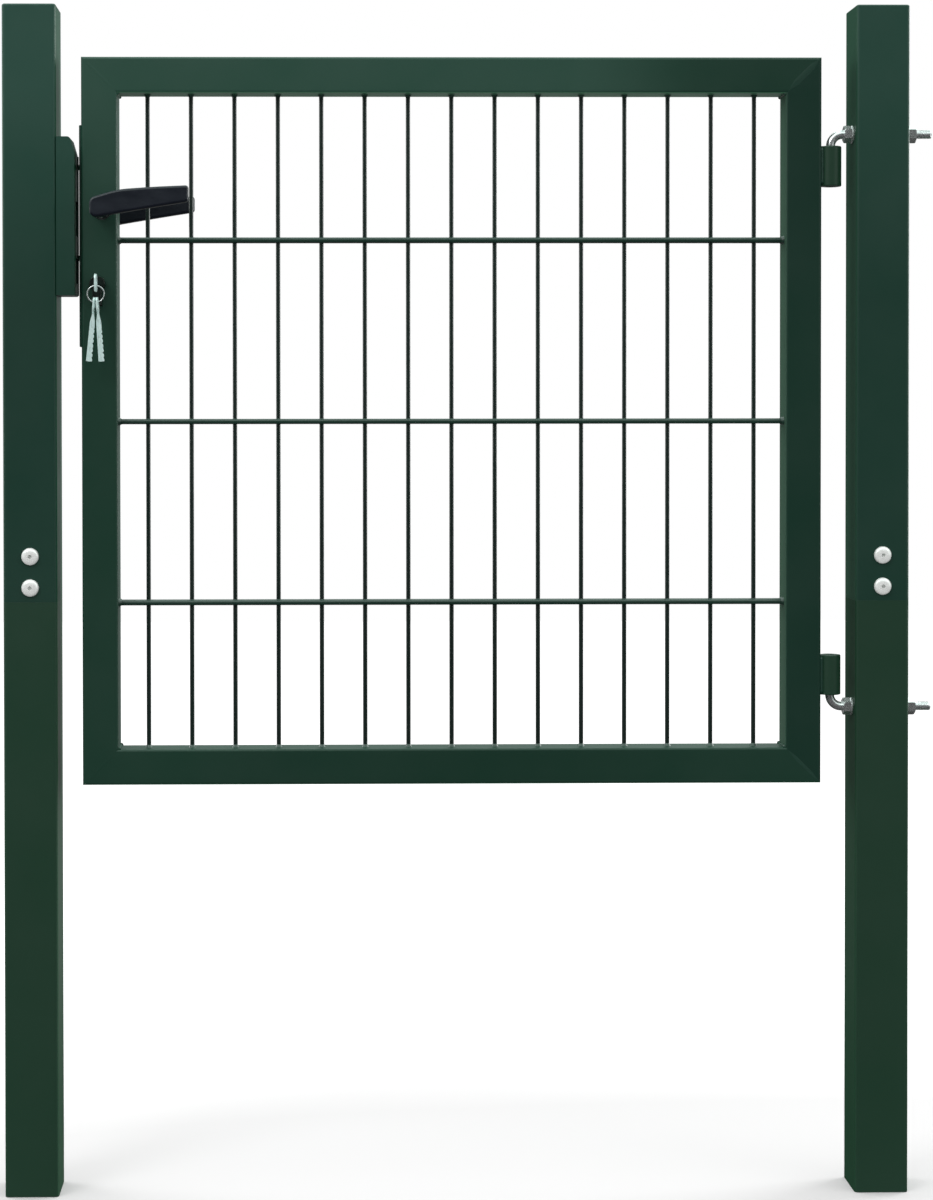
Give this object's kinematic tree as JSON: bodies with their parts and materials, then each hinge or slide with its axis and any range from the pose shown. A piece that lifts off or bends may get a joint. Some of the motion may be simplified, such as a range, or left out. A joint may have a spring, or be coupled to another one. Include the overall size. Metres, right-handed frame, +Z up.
{
  "type": "garden gate",
  "caption": "Powder-coated steel garden gate: a mesh-filled square-tube leaf hung on adjustable hinges between two square posts, with a strike box, lever lock and keys.",
  "frame": {"origin": "middle of the hinge post's foot, on the ground plane", "axes": "+Z up along the posts, +X along the fence from the leaf to the hinge post, +Y away from the side that the leaf opens to"},
  "size_m": [1.0416, 0.149, 1.332],
  "materials": {
    "green_coating": "moss green powder coating, semi-gloss",
    "zinc_steel": "bright zinc plating",
    "forend_steel": "satin steel",
    "black_lever": "black satin polyamide",
    "nickel": "nickel plating"
  },
  "bodies": {
    "posts": {"hinge_post_upper": "green_coating", "hinge_post_lower": "green_coating", "hinge_post_sleeve": "zinc_steel", "hinge_post_cap": "green_coating", "strike_post_upper": "green_coating", "strike_post_lower": "green_coating", "strike_post_sleeve": "zinc_steel", "strike_post_cap": "green_coating", "post_joint_bolts": "zinc_steel", "strike_box": "green_coating", "upper_hinge_bolt": "zinc_steel", "lower_hinge_bolt": "zinc_steel", "hinge_nuts": "zinc_steel", "hinge_washers": "zinc_steel"},
    "leaf": {"top_rail": "green_coating", "bottom_rail": "green_coating", "lock_stile": "green_coating", "hinge_stile": "green_coating", "upper_hinge_barrel": "green_coating", "lower_hinge_barrel": "green_coating", "mesh_panel": "green_coating", "lock_forend": "forend_steel", "lock_case": "zinc_steel", "latch_bolt": "forend_steel", "dead_bolt": "forend_steel", "lock_cylinder": "nickel", "key": "nickel", "key_ring": "nickel", "left_spare_key": "nickel", "right_spare_key": "nickel"},
    "handle": {"front_lever": "black_lever", "rear_lever": "black_lever", "handle_spindle": "zinc_steel"}
  },
  "joints": [
    {"name": "leaf_swing", "type": "hinge", "parent": "posts", "child": "leaf", "pos_m": [-0.055, -0.009, 0.867], "axis": [0, 0, 1], "range_deg": [0, 100]},
    {"name": "handle_turn", "type": "hinge", "parent": "leaf", "child": "handle", "pos_m": [-0.873, 0, 1.103], "axis": [0, 1, 0], "range_deg": [0, 40], "stiffness_Nm_per_rad": 0.8, "springref_deg": -28.65}
  ]
}
